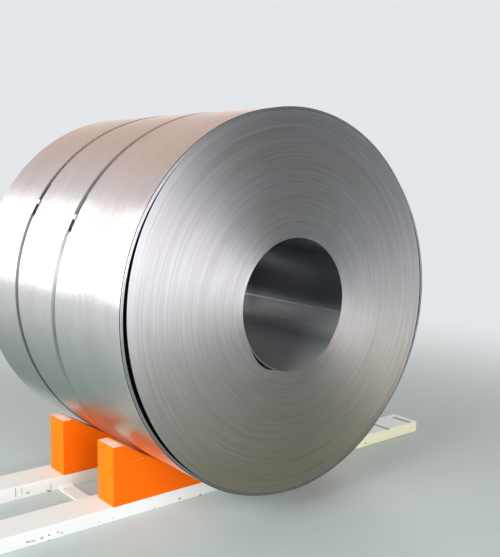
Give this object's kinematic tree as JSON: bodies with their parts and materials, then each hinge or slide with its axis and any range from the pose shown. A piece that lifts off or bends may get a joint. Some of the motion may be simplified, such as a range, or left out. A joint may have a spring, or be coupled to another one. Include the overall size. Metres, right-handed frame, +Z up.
{
  "type": "steel coil",
  "caption": "Strapped coil of wound steel strip lying on its side on wedge chocks, on a low rack of channel rails joined by flat ties.",
  "frame": {"origin": "on the floor, under the middle of the coil", "axes": "+Z up, +Y along the coil's bore, away from the end with the slack outer turns, +X along the rails to the right seen from that end"},
  "size_m": [2.4, 1.2, 1.564],
  "materials": {
    "steel_strip": "cold rolled, satin",
    "strap_steel": "blued, dull",
    "seal_steel": "zinc coated, crimped",
    "chock_orange": "moulded, satin",
    "rack_white": "white paint, chipped"
  },
  "bodies": {
    "root": {"coil": "steel_strip", "strap_front": "strap_steel", "strap_rear": "strap_steel", "seal_front": "seal_steel", "seal_rear": "seal_steel", "chock_front_left": "chock_orange", "chock_front_right": "chock_orange", "chock_rear_left": "chock_orange", "chock_rear_right": "chock_orange", "rail_front": "rack_white", "rail_rear": "rack_white", "tie_left": "rack_white", "tie_right": "rack_white"}
  },
  "joints": []
}
